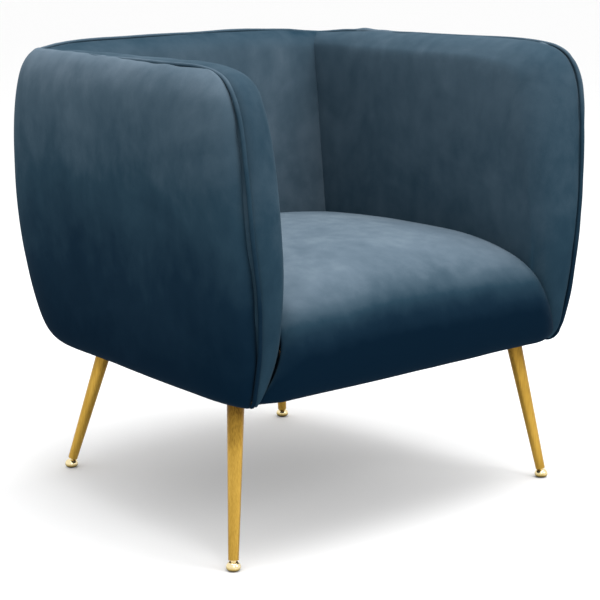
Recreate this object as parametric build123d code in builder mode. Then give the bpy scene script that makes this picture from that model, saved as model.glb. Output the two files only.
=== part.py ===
"""Upholstered tub armchair on four splayed metal legs.

Frame: +Z up, the sitter faces -Y, +X is the sitter's left. Millimetres.
The origin is on the floor, under the middle of the chair's box.
"""

import os
from math import acos, sin

from build123d import *

# ---- overall size -------------------------------------------------------
HEIGHT = 705.0
FABRIC = 1.5
# limits of cutting blocks, clear of the chair on every side
BELOW = 200.0
ABOVE = 720.0
BEYOND = 400.0

UPWARD = (Align.CENTER, Align.CENTER, Align.MIN)

# ---- outer shell: one row for each height --------------------------------
# z, front edge x, front edge y, half width of the side, back y, corner radius
SHELL_LEVELS = [
    (231.0, 303.0, -275.0, 316.0, 246.0, 118.0),
    (243.0, 309.0, -287.0, 338.0, 262.0, 124.0),
    (270.0, 310.5, -301.0, 346.0, 285.0, 132.0),
    (323.0, 313.0, -314.0, 352.0, 311.0, 140.0),
    (403.0, 319.0, -318.0, 360.0, 325.5, 140.0),
    (484.0, 328.0, -315.0, 367.0, 325.5, 140.0),
    (564.0, 332.5, -310.0, 371.5, 318.0, 140.0),
    (620.0, 335.0, -301.0, 372.5, 303.0, 132.0),
    (660.0, 336.0, -283.0, 367.0, 289.0, 120.0),
    (684.0, 335.5, -250.0, 354.0, 280.0, 108.0),
    (697.0, 333.0, -212.0, 337.0, 276.5, 100.0),
]
SIDE_TAPER = 21.0
SWELL_LENGTH = 70.0
SWELL_SHARE = 0.75

# ---- inside faces of the tub ---------------------------------------------
INSIDE_X = 258.0
BACK_FOOT_Y = 187.0
BACK_TUCK_Y = 194.0
BACK_TUCK_Z = 387.0
BACK_HEAD_Y = 227.0
BACK_HEAD_Z = 678.0
RIM_TOP = 699.0
RIM_FRONT_X = 333.0
RIM_BACK_X = 312.0
RIM_BACK_Y = 278.0
RIM_CORNER = 100.0
RIM_INSET = 5.0

# arm front seen from the side: y, z, share of a shrink taken in y and in z
ARM_FRONT = [
    (-281.0, 236.0, 1.0, 0.0),
    (-304.0, 270.0, 1.0, 0.0),
    (-318.0, 323.0, 1.0, 0.0),
    (-323.0, 403.0, 1.0, 0.0),
    (-320.0, 484.0, 1.0, 0.0),
    (-315.0, 564.0, 1.0, 0.0),
    (-306.0, 620.0, 1.0, 0.2),
    (-290.0, 657.0, 0.8, 0.6),
    (-258.0, 685.0, 0.5, 0.8),
    (-210.0, RIM_TOP, 0.1, 1.0),
]
# the piped edge on the arm's front: foot, then how it spreads over its rise
SEAM_FOOT_X = 305.0
SEAM_SPREAD = 23.0
SEAM_RISE = 448.0
# rounding of the arm's inner edge: distance from the inside face, shrink
ARM_ROUNDING = [(0.0, 16.0), (3.0, 8.5), (10.0, 2.5), (24.0, 0.0), (75.0, 0.0)]

# ---- seat ----------------------------------------------------------------
SEAT_HALF = 254.5
SEAT_BASE = 317.5
SEAT_DROP = 236.0
SEAT_GAP = 0.5
SEAT_BOW = 4.0
SEAT_FRONT = -300.0
# seat seen from the side: y, z, outward direction in y and in z, share of the crown
SEAT_TOP = [
    (186.0, 378.0, 0.0, 1.0, 0.3),
    (60.0, 394.0, 0.0, 1.0, 1.0),
    (-100.0, 397.0, 0.0, 1.0, 1.0),
    (-216.0, 389.0, -0.1, 1.0, 0.9),
    (-285.0, 365.0, -0.6, 0.8, 0.6),
    (-315.0, 328.0, -0.9, 0.4, 0.3),
    (-320.0, 290.0, -1.0, 0.0, 0.25),
    (-310.0, SEAT_DROP, -1.0, 0.0, 0.1),
]
# crown of the seat: place across the seat, height
CROWN_HEIGHT = 18.0
SEAT_CROWN = [(-1.0, 0.0), (-0.62, 12.0), (0.0, CROWN_HEIGHT), (0.62, 12.0), (1.0, 0.0)]

# ---- timber frame ----------------------------------------------------------
RAIL = 24.0
RAIL_OUT = 306.0
RAIL_IN = RAIL_OUT - RAIL
RAIL_BOTTOM = 242.0
RAIL_TOP = 310.0
FRONT_Y = -285.0
ARM_REAR = 140.0
BACK_HALF = 236.0
BACK_IN = 215.0
HEAD_BOTTOM = 660.0
HEAD_TOP = 684.0
LEAN = 32.0 / (HEAD_TOP - RAIL_TOP)
BOARD = 3.0
STUMP_BACK = -235.0
# the stump's sawn corner: top of its front edge, then the middle of the slope
STUMP_FRONT_TOP = 618.0
STUMP_SLOPE = (-246.0, 674.0)
POST = 36.0
BLOCK_HEIGHT = 40.0
FRONT_BLOCK = (50.0, 66.0)
BACK_BLOCK = (60.0, 34.0)

# ---- suspension ------------------------------------------------------------
SPRING_WIRE = 1.75
SPRING_LEVEL = 313.0
SPRING_XS = [-184.0, -92.0, 0.0, 92.0, 184.0]
SPRING_HALF = 20.0
SPRING_PITCH = 24.0
SPRING_TURNS = 17
CLIP = (18.0, 16.0, 6.0)
WEB_WIDTH = 50.0
WEB_THICK = 1.6
WEB_RISE = 8.0
WEB_XS = [-140.0, -47.0, 47.0, 140.0]

# ---- legs ------------------------------------------------------------------
# foot and the place where the leg's axis meets the underside, sitter's left
LEG_FRONT = ((320.0, -264.0), (284.0, -227.0))
LEG_BACK = ((228.0, 278.0), (178.0, 230.0))
AXIS_FOOT_Z = 8.0
AXIS_TOP_Z = 230.0
LEG_FOOT_R = 7.5
LEG_TOP_R = 12.6
LEG_WALL = 1.5
LEG_TOP_EDGE = 236.0
PLUG_LENGTH = 30.0
STUD_PLUG = 20.0
STUD_R = 4.0
STUD_REACH = 18.0
GLIDE_TOP = 12.5
GLIDE_GAP = 0.6
GLIDE_R = 10.5
GLIDE_SOLE_R = 6.5
STEM_R = 4.0
STEM_REACH = 24.0
RUNNING_GAP = 0.05
PLATE = 46.0
PLATE_THICK = 3.0
PLATE_BOTTOM = 237.5
SCREW_SPREAD = 32.0
SCREW_R = 2.0
SCREW_HEAD_R = 4.0
SCREW_LENGTH = 20.0

# ---- piping ----------------------------------------------------------------
PIPING_R = 3.5
PIPING_Z = HEIGHT - PIPING_R

os.makedirs("parts", exist_ok=True)


def keep(piece, label):
    """Label one finished piece and write its file."""
    piece.part.label = label
    export_step(piece.part, f"parts/{label}.step")


def keep_pair(piece, label):
    """Write a piece of the sitter's left side and its mirror image."""
    keep(piece, f"left_{label}")
    with BuildPart() as other:
        mirror(piece.part, about=Plane.YZ)
    keep(other, f"right_{label}")


def keep_together(piece, label):
    """Write a piece and its mirror image as one node of two solids."""
    with BuildPart() as both:
        add(piece.part)
        mirror(piece.part, about=Plane.YZ)
    keep(both, label)


def board(x_span, y_span, z_span):
    """A straight timber member between three pairs of limits."""
    with BuildPart() as piece:
        with BuildSketch(Plane.XY.offset(z_span[0])):
            with Locations((sum(x_span) / 2, sum(y_span) / 2)):
                Rectangle(x_span[1] - x_span[0], y_span[1] - y_span[0])
        extrude(amount=z_span[1] - z_span[0])
    return piece


def plan_board(points, z_span):
    """A member with a shaped plan, sawn from thick board."""
    with BuildPart() as piece:
        with BuildSketch(Plane.XY.offset(z_span[0])):
            Polygon(*points, align=None)
        extrude(amount=z_span[1] - z_span[0])
    return piece


def side_board(points, x_span):
    """A member whose outline is drawn in the side view."""
    with BuildPart() as piece:
        with BuildSketch(Plane.YZ.offset(x_span[0])):
            Polygon(*points, align=None)
        extrude(amount=x_span[1] - x_span[0])
    return piece


def lean(z):
    """How far the back has leaned at this height."""
    return LEAN * (z - RAIL_TOP)


def leaning_board(y_span, z_span, x_span):
    """A member of the leaning back frame."""
    low, high = z_span
    outline = [
        (y_span[0] + lean(low), low),
        (y_span[1] + lean(low), low),
        (y_span[1] + lean(high), high),
        (y_span[0] + lean(high), high),
    ]
    return side_board(outline, x_span)


# ==== leg hardware that the timber is bored for ==============================
def leg_axis(foot, top):
    """The line of a leg, from its foot upwards."""
    start = Vector(foot[0], foot[1], AXIS_FOOT_Z)
    end = Vector(top[0], top[1], AXIS_TOP_Z)
    return start, (end - start).normalized()


def leg_planes(foot, top):
    """Planes across a leg at its lower and upper ends, and its length."""
    start, direction = leg_axis(foot, top)
    slope = sin(acos(direction.Z))
    low_z = GLIDE_TOP + GLIDE_GAP + LEG_FOOT_R * slope
    high_z = LEG_TOP_EDGE - LEG_TOP_R * slope
    low = start + direction * ((low_z - AXIS_FOOT_Z) / direction.Z)
    high = start + direction * ((high_z - AXIS_FOOT_Z) / direction.Z)
    return Plane(low, z_dir=direction), Plane(high, z_dir=direction), (high - low).length


def mirrored_leg(spot):
    """The same leg on the sitter's right."""
    foot, top = spot
    return ((-foot[0], foot[1]), (-top[0], top[1]))


LEGS = {
    "front_left": LEG_FRONT,
    "front_right": mirrored_leg(LEG_FRONT),
    "back_left": LEG_BACK,
    "back_right": mirrored_leg(LEG_BACK),
}


def plate_centre(name):
    """Plates stay under the frame, so the back ones sit forward of their legs."""
    side = 1 if "left" in name else -1
    if "front" in name:
        return (side * (RAIL_OUT - PLATE / 2), LEG_FRONT[1][1] + 1.0)
    return (side * LEG_BACK[1][0], BACK_IN + 3.0)


with BuildPart() as leg_studs:
    for spot in LEGS.values():
        _, high_plane, length = leg_planes(*spot)
        plug_low_r = LEG_TOP_R - LEG_WALL - (LEG_TOP_R - LEG_FOOT_R) * STUD_PLUG / length
        with Locations(high_plane.offset(-STUD_PLUG)):
            Cone(plug_low_r, LEG_TOP_R - LEG_WALL, STUD_PLUG, align=UPWARD)
        with Locations(high_plane):
            Cylinder(STUD_R, STUD_REACH, align=UPWARD)
keep(leg_studs, "leg_studs")

with BuildPart() as plate_screws:
    for name in LEGS:
        with Locations(Plane((*plate_centre(name), PLATE_BOTTOM))):
            with GridLocations(SCREW_SPREAD, SCREW_SPREAD, 2, 2):
                Cone(SCREW_HEAD_R, SCREW_R, SCREW_HEAD_R - SCREW_R, align=UPWARD)
                Cylinder(SCREW_R, SCREW_LENGTH, align=UPWARD)
keep(plate_screws, "plate_screws")


def bored(piece):
    """The same member with the holes of the leg studs and the screws."""
    with BuildPart() as drilled:
        add(piece.part)
        add(leg_studs.part, mode=Mode.SUBTRACT)
        add(plate_screws.part, mode=Mode.SUBTRACT)
    return drilled


# ==== seat frame ============================================================
front_seat_rail = board((-RAIL_OUT, RAIL_OUT), (FRONT_Y, FRONT_Y + RAIL), (RAIL_BOTTOM, RAIL_TOP))
keep(front_seat_rail, "front_seat_rail")

back_seat_rail = board((-BACK_HALF, BACK_HALF), (BACK_IN, BACK_IN + RAIL), (RAIL_BOTTOM, RAIL_TOP))
keep(bored(back_seat_rail), "back_seat_rail")

side_seat_rail = board((RAIL_IN, RAIL_OUT), (FRONT_Y + RAIL, ARM_REAR), (RAIL_BOTTOM, RAIL_TOP))
keep_pair(bored(side_seat_rail), "seat_rail")

SEAT_CORNER = [
    (RAIL_IN, ARM_REAR),
    (RAIL_OUT, ARM_REAR),
    (BACK_HALF, BACK_IN + RAIL),
    (BACK_HALF, BACK_IN),
]
keep_pair(plan_board(SEAT_CORNER, (RAIL_BOTTOM, RAIL_TOP)), "corner_rail")

front_block = board(
    (RAIL_IN - FRONT_BLOCK[0], RAIL_IN),
    (FRONT_Y + RAIL, FRONT_Y + RAIL + FRONT_BLOCK[1]),
    (RAIL_BOTTOM, RAIL_BOTTOM + BLOCK_HEIGHT),
)
keep_together(bored(front_block), "front_leg_blocks")

back_block = board(
    (LEG_BACK[1][0] - BACK_BLOCK[0] / 2, LEG_BACK[1][0] + BACK_BLOCK[0] / 2),
    (BACK_IN - BACK_BLOCK[1], BACK_IN),
    (RAIL_BOTTOM, RAIL_BOTTOM + BLOCK_HEIGHT),
)
keep_together(bored(back_block), "back_leg_blocks")

# ==== arm frames ============================================================
ARM_STUMP = [
    (FRONT_Y, RAIL_TOP),
    (FRONT_Y, STUMP_FRONT_TOP),
    STUMP_SLOPE,
    (STUMP_BACK, HEAD_TOP),
    (STUMP_BACK, RAIL_TOP),
]
keep_pair(side_board(ARM_STUMP, (RAIL_IN, RAIL_OUT)), "arm_stump")

keep_pair(board((RAIL_IN, RAIL_OUT), (ARM_REAR - POST, ARM_REAR), (RAIL_TOP, HEAD_BOTTOM)), "arm_post")

keep_pair(board((RAIL_IN, RAIL_OUT), (STUMP_BACK, ARM_REAR), (HEAD_BOTTOM, HEAD_TOP)), "arm_rail")

ARM_PANEL = [
    (FRONT_Y, RAIL_BOTTOM),
    *ARM_STUMP[:4],
    (ARM_REAR, HEAD_TOP),
    (ARM_REAR, RAIL_BOTTOM),
]
keep_pair(side_board(ARM_PANEL, (RAIL_OUT, RAIL_OUT + BOARD)), "arm_panel")

# ==== back frame ============================================================
back_upright = leaning_board(
    (BACK_IN, BACK_IN + RAIL), (RAIL_TOP, HEAD_BOTTOM), (BACK_HALF - RAIL, BACK_HALF)
)
keep_pair(back_upright, "back_upright")

back_rail = leaning_board((BACK_IN, BACK_IN + RAIL), (HEAD_BOTTOM, HEAD_TOP), (-BACK_HALF, BACK_HALF))
keep(back_rail, "back_head_rail")

# plan of the corner rail, sawn to follow the rim: outside edge, then inside
HEAD_CORNER = [
    (RAIL_IN, ARM_REAR),
    (RAIL_OUT, ARM_REAR),
    (RAIL_OUT, ARM_REAR + 65.0),
    (BACK_HALF + 40.0, BACK_IN + 35.0),
    (BACK_HALF, BACK_IN + RAIL + lean(HEAD_BOTTOM)),
    (BACK_HALF, BACK_IN + lean(HEAD_TOP)),
    (BACK_HALF + 28.0, BACK_IN + 30.0),
    (RAIL_IN - 1.0, BACK_IN + 8.0),
]
head_corner_rail = plan_board(HEAD_CORNER, (HEAD_BOTTOM, HEAD_TOP))
keep_pair(head_corner_rail, "head_corner_rail")

back_panel = leaning_board(
    (BACK_IN + RAIL, BACK_IN + RAIL + BOARD), (RAIL_TOP, HEAD_TOP), (-BACK_HALF, BACK_HALF)
)
keep(back_panel, "back_panel")

# ==== suspension ============================================================
SPRING_START = FRONT_Y + RAIL / 2
SPRING_END = BACK_IN + RAIL / 2
SPRING_LEAD = (SPRING_END - SPRING_START - SPRING_PITCH * SPRING_TURNS) / 2


def spring_route(x):
    """Corners of one zigzag spring, from the front clip to the back clip."""
    corners = [(x, SPRING_START)]
    first = SPRING_START + SPRING_LEAD
    corners.append((x, first))
    for turn in range(SPRING_TURNS):
        side = SPRING_HALF if turn % 2 == 0 else -SPRING_HALF
        corners.append((x + side, first + turn * SPRING_PITCH))
        corners.append((x + side, first + (turn + 1) * SPRING_PITCH))
    corners.append((x, first + SPRING_TURNS * SPRING_PITCH))
    corners.append((x, SPRING_END))
    return corners


with BuildPart() as seat_springs:
    for x in SPRING_XS:
        with BuildLine(Plane.XY.offset(SPRING_LEVEL)) as route:
            FilletPolyline(*spring_route(x), radius=SPRING_HALF * 0.45)
        with BuildSketch(Plane(route.wires()[0] @ 0, z_dir=route.wires()[0] % 0)):
            Circle(SPRING_WIRE)
        sweep(path=route.wires()[0])
keep(seat_springs, "seat_springs")

with BuildPart() as spring_clips:
    for x in SPRING_XS:
        for y in (SPRING_START, SPRING_END):
            with Locations((x, y, RAIL_TOP)):
                Box(*CLIP, align=UPWARD)
            with Locations(Location((x, y, SPRING_LEVEL), (90, 0, 0))):
                Cylinder(SPRING_WIRE, CLIP[1], mode=Mode.SUBTRACT)
keep(spring_clips, "spring_clips")

CLOTH_OUTLINE = [
    (RAIL_IN, FRONT_Y + 2.0),
    (RAIL_IN, ARM_REAR),
    (BACK_HALF, BACK_IN - 10.0),
    (-BACK_HALF, BACK_IN - 10.0),
    (-RAIL_IN, ARM_REAR),
    (-RAIL_IN, FRONT_Y + 2.0),
]
keep(plan_board(CLOTH_OUTLINE, (RAIL_TOP + CLIP[2], SEAT_BASE)), "spring_cloth")

with BuildPart() as back_webbing:
    for x in WEB_XS:
        span = (x - WEB_WIDTH / 2, x + WEB_WIDTH / 2)
        strap = leaning_board((BACK_IN - WEB_THICK, BACK_IN), (RAIL_TOP + WEB_RISE, HEAD_TOP), span)
        add(strap.part)
keep(back_webbing, "back_webbing")


# ==== seat ==================================================================
def seat_section(x, crown, grow):
    """Side view of the seat pad at one place across it."""
    with BuildSketch(Plane.YZ.offset(x)) as section:
        with BuildLine():
            top = []
            for y, z, out_y, out_z, share in SEAT_TOP:
                forward = SEAT_BOW * share * crown / CROWN_HEIGHT if y < FRONT_Y else 0.0
                rise = crown * share if y > SEAT_FRONT else 0.0
                top.append((y + grow * out_y - forward, z + grow * out_z + rise))
            curve = Spline(*top)
            Polyline(
                curve @ 1,
                (FRONT_Y - SEAT_GAP, SEAT_DROP),
                (FRONT_Y - SEAT_GAP, SEAT_BASE),
                (SEAT_TOP[0][0], SEAT_BASE),
                curve @ 0,
            )
        make_face()
    return section.sketch


def seat_pad(half, grow):
    """The whole pad between its two sides."""
    sections = [seat_section(place * half, crown, grow) for place, crown in SEAT_CROWN]
    with BuildPart() as pad:
        loft(sections, ruled=True)
    return pad


seat_foam = seat_pad(SEAT_HALF, 0.0)
keep(seat_foam, "seat_foam")

with BuildPart() as seat_cover:
    add(seat_pad(SEAT_HALF + FABRIC, FABRIC).part)
    add(seat_foam.part, mode=Mode.SUBTRACT)
keep(seat_cover, "seat_cover")


# ==== linings of the arms and the back ======================================
def arm_section(x, shrink, grow):
    """Side view of an arm's lining at one distance from the middle."""
    with BuildSketch(Plane.YZ.offset(x)) as section:
        with BuildLine():
            front = []
            for y, z, share_y, share_z in ARM_FRONT:
                front.append((y + (shrink - grow) * share_y, z - (shrink - grow) * share_z))
            curve = Spline(*front)
            Polyline(
                curve @ 1,
                (RIM_BACK_Y, RIM_TOP - shrink + grow),
                (RIM_BACK_Y, ARM_FRONT[0][1]),
                curve @ 0,
            )
        make_face()
    return section.sketch


def rim_waste():
    """Everything above the frame that lies outside the rim's own outline."""
    with BuildPart() as waste:
        with BuildSketch(Plane.XY.offset(HEAD_TOP)):
            Rectangle(2 * BEYOND, 2 * BEYOND)
            with BuildLine():
                front_x = RIM_FRONT_X - RIM_INSET
                back_x = RIM_BACK_X - RIM_INSET
                back_y = RIM_BACK_Y - RIM_INSET
                FilletPolyline(
                    (front_x, -BEYOND),
                    (back_x, back_y),
                    (-back_x, back_y),
                    (-front_x, -BEYOND),
                    radius=RIM_CORNER,
                    close=False,
                )
                Line((-front_x, -BEYOND), (front_x, -BEYOND))
            make_face(mode=Mode.SUBTRACT)
        extrude(amount=HEIGHT - HEAD_TOP)
    return waste


def seam_plane(side):
    """The plane of the seam where an arm's lining meets the back's, side 1 or -1."""
    rise = BACK_HEAD_Z - BACK_TUCK_Z
    run = BACK_HEAD_Y - BACK_TUCK_Y
    origin = (side * (INSIDE_X - 2.0), BACK_TUCK_Y, BACK_TUCK_Z)
    return Plane(origin, z_dir=(side * rise, -rise, run))


ARM_HOLLOW = [
    (FRONT_Y, BELOW),
    (FRONT_Y, STUMP_FRONT_TOP),
    STUMP_SLOPE,
    (STUMP_BACK, HEAD_TOP),
    (BEYOND, HEAD_TOP),
    (BEYOND, BELOW),
]
arm_hollow = side_board(ARM_HOLLOW, (RAIL_IN, BEYOND))
seat_hollow = board((BACK_HALF - RAIL, BEYOND), (FRONT_Y - SEAT_GAP, BEYOND), (BELOW, SEAT_BASE))
waste = rim_waste()
FRONT_EDGE = Plane((SEAM_FOOT_X, 0, SEAT_DROP), z_dir=(SEAM_RISE, 0, -SEAM_SPREAD))


def arm_lining(grow):
    """Foam on the inside, top and front of the sitter's left arm."""
    sections = [arm_section(INSIDE_X - grow + reach, shrink, grow) for reach, shrink in ARM_ROUNDING]
    with BuildPart() as lining:
        loft(sections, ruled=True)
        add(arm_hollow.part, mode=Mode.SUBTRACT)
        add(seat_hollow.part, mode=Mode.SUBTRACT)
        add(waste.part, mode=Mode.SUBTRACT)
        add(head_corner_rail.part, mode=Mode.SUBTRACT)
        split(bisect_by=FRONT_EDGE, keep=Keep.BOTTOM)
        split(bisect_by=seam_plane(1), keep=Keep.TOP)
    return lining


arm_foam = arm_lining(0.0)
keep_pair(arm_foam, "arm_foam")

with BuildPart() as arm_cover:
    add(arm_lining(FABRIC).part)
    add(arm_foam.part, mode=Mode.SUBTRACT)
keep_pair(arm_cover, "arm_cover")


with BuildPart() as mirrored_corner:
    mirror(head_corner_rail.part, about=Plane.YZ)


def back_lining(grow):
    """Foam on the inside and the top of the back."""
    hidden = BACK_IN - 2.0
    with BuildPart() as lining:
        with BuildSketch(Plane.YZ.offset(-RAIL_OUT)):
            with BuildLine():
                Polyline(
                    (hidden + lean(SEAT_BASE), SEAT_BASE),
                    (BACK_FOOT_Y + 1.0 - grow, SEAT_BASE),
                    (BACK_TUCK_Y - grow, BACK_TUCK_Z),
                    (BACK_HEAD_Y - grow, BACK_HEAD_Z),
                )
                ThreePointArc(
                    (BACK_HEAD_Y - grow, BACK_HEAD_Z),
                    (BACK_HEAD_Y - grow + 7.0, RIM_TOP - 7.0 + grow),
                    (BACK_HEAD_Y + 23.0, RIM_TOP + grow),
                )
                Polyline(
                    (BACK_HEAD_Y + 23.0, RIM_TOP + grow),
                    (RIM_BACK_Y + 20.0, RIM_TOP + grow),
                    (RIM_BACK_Y + 20.0, HEAD_TOP),
                    (hidden + lean(HEAD_TOP), HEAD_TOP),
                    (hidden + lean(SEAT_BASE), SEAT_BASE),
                )
            make_face()
        extrude(amount=2 * RAIL_OUT)
        add(waste.part, mode=Mode.SUBTRACT)
        add(head_corner_rail.part, mode=Mode.SUBTRACT)
        add(mirrored_corner.part, mode=Mode.SUBTRACT)
        split(bisect_by=seam_plane(1), keep=Keep.BOTTOM)
        split(bisect_by=seam_plane(-1), keep=Keep.BOTTOM)
    return lining


back_foam = back_lining(0.0)
keep(back_foam, "back_foam")

with BuildPart() as back_cover:
    add(back_lining(FABRIC).part)
    add(back_foam.part, mode=Mode.SUBTRACT)
keep(back_cover, "back_cover")


# ==== outside padding and covers ============================================
def shell_section(level, inset, step_back):
    """Plan of the chair's outside at one height."""
    z, edge_x, edge_y, side_x, back_y, bend = level
    start_y = edge_y + step_back
    half = side_x - inset
    rear_half = half - SIDE_TAPER
    rear_y = back_y - inset
    swell_x = edge_x - inset + (half - edge_x + inset) * SWELL_SHARE
    with BuildSketch(Plane.XY.offset(z)) as section:
        with BuildLine():
            Line((0, start_y), (edge_x - inset, start_y))
            Bezier(
                (edge_x - inset, start_y),
                (swell_x, edge_y + 0.1 * SWELL_LENGTH),
                (half, edge_y + 0.4 * SWELL_LENGTH),
                (half, edge_y + SWELL_LENGTH),
            )
            Line((half, edge_y + SWELL_LENGTH), (rear_half, rear_y - bend))
            RadiusArc((rear_half, rear_y - bend), (rear_half - bend, rear_y), -bend)
            Line((rear_half - bend, rear_y), (0, rear_y))
            mirror(about=Plane.YZ)
        make_face()
    return section.sketch


def shell(inset, step_back):
    """The chair's outside as one solid block."""
    sections = [shell_section(level, inset, step_back) for level in SHELL_LEVELS]
    with BuildPart() as block:
        loft(sections, ruled=True)
    return block


def core():
    """The space of the timber frame and its panels."""
    skin = BOARD + 0.3
    with BuildPart() as space:
        for low, high, shift_low, shift_high in (
            (BELOW, RAIL_TOP, 0.0, 0.0),
            (RAIL_TOP, ABOVE, 0.0, lean(ABOVE)),
        ):
            faces = []
            for z, shift in ((low, shift_low), (high, shift_high)):
                with BuildSketch(Plane.XY.offset(z)) as face:
                    Polygon(
                        (RAIL_OUT + skin, -BEYOND),
                        (RAIL_OUT + skin, ARM_REAR),
                        (BACK_HALF, BACK_IN + RAIL + skin + shift),
                        (-BACK_HALF, BACK_IN + RAIL + skin + shift),
                        (-RAIL_OUT - skin, ARM_REAR),
                        (-RAIL_OUT - skin, -BEYOND),
                        align=None,
                    )
                faces.append(face.sketch)
            loft(faces, ruled=True)
    return space


outer = shell(0.0, 0.0)
inner_long = shell(FABRIC, -6.0)
frame_space = core()

with BuildPart() as outside_foam:
    add(shell(FABRIC, 5.0).part)
    add(frame_space.part, mode=Mode.SUBTRACT)
    split(bisect_by=Plane.YZ, keep=Keep.TOP)
    add(arm_lining(FABRIC).part, mode=Mode.SUBTRACT)
    add(back_lining(FABRIC).part, mode=Mode.SUBTRACT)
    add(head_corner_rail.part, mode=Mode.SUBTRACT)

CORNER_X = RAIL_OUT - 95.0
with BuildPart() as arm_outside_foam:
    add(outside_foam.part)
    split(bisect_by=Plane.XZ.offset(-ARM_REAR), keep=Keep.TOP)
keep_pair(arm_outside_foam, "outside_arm_foam")

with BuildPart() as corner_offcuts:
    add(outside_foam.part)
    split(bisect_by=Plane.XZ.offset(-ARM_REAR), keep=Keep.BOTTOM)
    split(bisect_by=Plane.YZ.offset(CORNER_X), keep=Keep.TOP)

with BuildPart() as corner_foam:
    add(corner_offcuts.part.solids().sort_by(SortBy.VOLUME)[-1])
keep_pair(corner_foam, "corner_foam")

with BuildPart() as half_back:
    add(outside_foam.part)
    split(bisect_by=Plane.XZ.offset(-ARM_REAR), keep=Keep.BOTTOM)
    split(bisect_by=Plane.YZ.offset(CORNER_X), keep=Keep.BOTTOM)

with BuildPart() as outside_back_foam:
    add(half_back.part)
    mirror(half_back.part, about=Plane.YZ)
keep(outside_back_foam, "outside_back_foam")

with BuildPart() as outside_skin:
    add(outer.part)
    add(inner_long.part, mode=Mode.SUBTRACT)

with BuildPart() as outside_arm_cover:
    add(outside_skin.part)
    split(bisect_by=Plane.YZ.offset(CORNER_X), keep=Keep.TOP)
keep_pair(outside_arm_cover, "outside_arm_cover")

with BuildPart() as outside_back_cover:
    add(outside_skin.part)
    split(bisect_by=Plane.YZ.offset(CORNER_X), keep=Keep.BOTTOM)
    split(bisect_by=Plane.YZ.offset(-CORNER_X), keep=Keep.TOP)
    split(bisect_by=Plane.XZ, keep=Keep.BOTTOM)
keep(outside_back_cover, "outside_back_cover")

# ==== piping ================================================================
PIPING_ROUTE = [
    (309.0, -287.0, 236.0),
    (312.0, -303.0, 258.0),
    (318.5, -321.5, 350.0),
    (328.5, -322.0, 470.0),
    (337.5, -313.0, 600.0),
    (338.5, -268.0, PIPING_Z - 8.0),
    (336.5, -190.0, PIPING_Z),
    (RIM_BACK_X + 3.0, RIM_BACK_Y, PIPING_Z),
]
PIPING_BENDS = [60.0, 300.0, 200.0, 40.0, 70.0, 400.0, RIM_CORNER]

with BuildPart() as piping:
    with BuildLine() as piping_line:
        mirrored_route = [(-x, y, z) for x, y, z in reversed(PIPING_ROUTE)]
        FilletPolyline(
            *PIPING_ROUTE,
            *mirrored_route,
            radius=[*PIPING_BENDS, *reversed(PIPING_BENDS)],
        )
    with BuildSketch(Plane(piping_line.wires()[0] @ 0, z_dir=piping_line.wires()[0] % 0)):
        Circle(PIPING_R)
    sweep(path=piping_line.wires()[0])
keep(piping, "piping")

# ==== dust cover ============================================================
DUST_INSET = 6.0
DUST_OUTLINE = [
    (RAIL_OUT - DUST_INSET, FRONT_Y + DUST_INSET),
    (RAIL_OUT - DUST_INSET, ARM_REAR),
    (BACK_HALF, BACK_IN + RAIL - DUST_INSET),
    (-BACK_HALF, BACK_IN + RAIL - DUST_INSET),
    (-RAIL_OUT + DUST_INSET, ARM_REAR),
    (-RAIL_OUT + DUST_INSET, FRONT_Y + DUST_INSET),
]
dust_cover = plan_board(DUST_OUTLINE, (PLATE_BOTTOM + PLATE_THICK, RAIL_BOTTOM))
keep(bored(dust_cover), "dust_cover")


# ==== legs ==================================================================
def leg(spot):
    """Tapered tube, open at both ends."""
    low_plane, high_plane, length = leg_planes(*spot)
    with BuildPart(low_plane) as tube:
        Cone(LEG_FOOT_R, LEG_TOP_R, length, align=UPWARD)
        Cone(
            LEG_FOOT_R - LEG_WALL,
            LEG_TOP_R - LEG_WALL,
            length,
            align=UPWARD,
            mode=Mode.SUBTRACT,
        )
    return tube


def leg_plate(name):
    """Square mounting plate with countersunk screw holes."""
    with BuildPart() as plate:
        with BuildSketch(Plane.XY.offset(PLATE_BOTTOM)):
            with Locations(plate_centre(name)):
                RectangleRounded(PLATE, PLATE, 4.0)
        extrude(amount=PLATE_THICK)
        add(leg_studs.part, mode=Mode.SUBTRACT)
        add(plate_screws.part, mode=Mode.SUBTRACT)
    return plate


def glide(spot):
    """Round polished foot, level on the floor, on a stem along the leg."""
    start, direction = leg_axis(*spot)
    low_plane = leg_planes(*spot)[0]
    foot_x, foot_y = spot[0]
    with BuildPart() as foot:
        with BuildSketch(Plane.XZ):
            with BuildLine():
                Line((0, 0), (GLIDE_SOLE_R, 0))
                ThreePointArc((GLIDE_SOLE_R, 0), (GLIDE_R - 0.9, 2.4), (GLIDE_R, 5.6))
                ThreePointArc((GLIDE_R, 5.6), (GLIDE_R - 0.9, 9.2), (GLIDE_SOLE_R, GLIDE_TOP))
                Polyline((GLIDE_SOLE_R, GLIDE_TOP), (0, GLIDE_TOP), (0, 0))
            make_face()
        revolve(axis=Axis.Z)
    with BuildPart() as whole:
        with Locations((foot_x, foot_y, 0)):
            add(foot.part)
        with Locations(Plane(start, z_dir=direction)):
            reach = (low_plane.origin - start).length + STEM_REACH
            Cylinder(STEM_R, reach, align=UPWARD)
    return whole


with BuildPart() as leg_end_plugs:
    for spot in LEGS.values():
        low_plane, _, length = leg_planes(*spot)
        wide_r = LEG_FOOT_R - LEG_WALL + (LEG_TOP_R - LEG_FOOT_R) * PLUG_LENGTH / length
        with Locations(low_plane):
            Cone(LEG_FOOT_R - LEG_WALL, wide_r, PLUG_LENGTH, align=UPWARD)
            Cylinder(
                STEM_R + RUNNING_GAP,
                PLUG_LENGTH,
                align=UPWARD,
                mode=Mode.SUBTRACT,
            )
keep(leg_end_plugs, "leg_end_plugs")

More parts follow.
